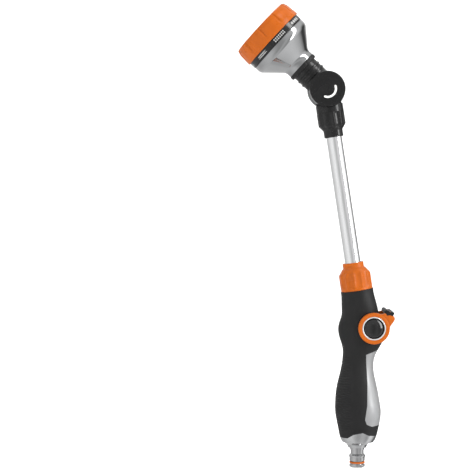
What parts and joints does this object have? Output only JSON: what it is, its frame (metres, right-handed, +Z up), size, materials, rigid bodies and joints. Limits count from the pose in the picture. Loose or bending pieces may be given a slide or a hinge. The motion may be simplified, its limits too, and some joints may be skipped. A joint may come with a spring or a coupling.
{
  "type": "watering wand",
  "caption": "Garden watering wand with a hose plug, contoured handle, thumb lever valve, slim tube, tilting elbow and a round multi-pattern spray head.",
  "frame": {"origin": "on the hose plug's axis, where its sealing land begins, 1.2 mm above the plug's tip", "axes": "+Z up the handle from the plug; the tube and the head lean towards -X; the thumb lever is on +X; the elbow's and the valve's axes run along Y"},
  "size_m": [0.1599, 0.0718, 0.4774],
  "materials": {
    "orange": "satin moulded orange plastic",
    "black_plastic": "fine-grained moulded black plastic",
    "inner_plastic": "plain moulded acetal",
    "face_plastic": "satin dark grey plastic",
    "grip_rubber": "soft ribbed black rubber",
    "hub_gloss": "high gloss black",
    "silver_plastic": "silver painted plastic with metal flake",
    "bright_metal": "bright metallised satin",
    "tube_aluminium": "polished aluminium",
    "plug_metal": "satin nickel plate",
    "steel": "zinc plated steel",
    "orange_seal": "orange silicone",
    "black_seal": "black nitrile rubber",
    "pale_mark": "pale printed plastic"
  },
  "bodies": {
    "root": {"hose_plug": "plug_metal", "plug_o_ring": "orange_seal", "plug_gasket": "black_seal", "inlet_strainer": "steel", "end_cap": "silver_plastic", "grip_sleeve": "grip_rubber", "palm_panel": "silver_plastic", "handle_core": "black_plastic", "handle_nut": "orange", "handle_collet": "black_plastic", "handle_tube_seal": "black_seal", "tube": "tube_aluminium", "elbow_tube_seal": "black_seal", "elbow_collet": "black_plastic", "elbow_nut": "black_plastic", "elbow_base": "black_plastic", "elbow_far_disc": "silver_plastic"},
    "lever": {"valve_rotor": "inner_plastic", "rotor_seals": "black_seal", "lever_yoke": "orange", "thumb_pad": "grip_rubber", "trim_ring_near": "silver_plastic", "trim_ring_far": "silver_plastic", "hub_cap_near": "hub_gloss", "hub_cap_far": "hub_gloss", "lever_screws": "steel"},
    "head": {"elbow_arm": "black_plastic", "elbow_mark": "pale_mark", "elbow_spindle": "inner_plastic", "elbow_seals": "black_seal", "elbow_click_ring": "inner_plastic", "elbow_washer": "steel", "elbow_screw": "steel", "head_collar": "black_plastic", "collar_gasket": "black_seal", "head_bell": "bright_metal", "port_seal": "black_seal", "port_spring": "steel", "head_seal": "black_seal", "click_spring": "steel", "head_washer": "steel", "head_screw": "steel"},
    "front": {"chamber_plate": "inner_plastic", "spray_plate": "face_plastic", "pattern_band": "black_plastic", "bezel": "orange", "pattern_marks": "pale_mark"}
  },
  "joints": [
    {"name": "head_tilt", "type": "hinge", "parent": "root", "child": "head", "pos_m": [-0.032, 0, 0.38822], "axis": [0, 1, 0], "range_deg": [-38.55, 51.45]},
    {"name": "pattern_turn", "type": "hinge", "parent": "head", "child": "front", "pos_m": [-0.032, 0, 0.38822], "axis": [-0.7314, 0, 0.682], "continuous": true, "deforming": ["click_spring"]},
    {"name": "valve_lever", "type": "hinge", "parent": "root", "child": "lever", "pos_m": [0.0157, 0, 0.1437], "axis": [0, 1, 0], "range_deg": [0, 70]}
  ]
}
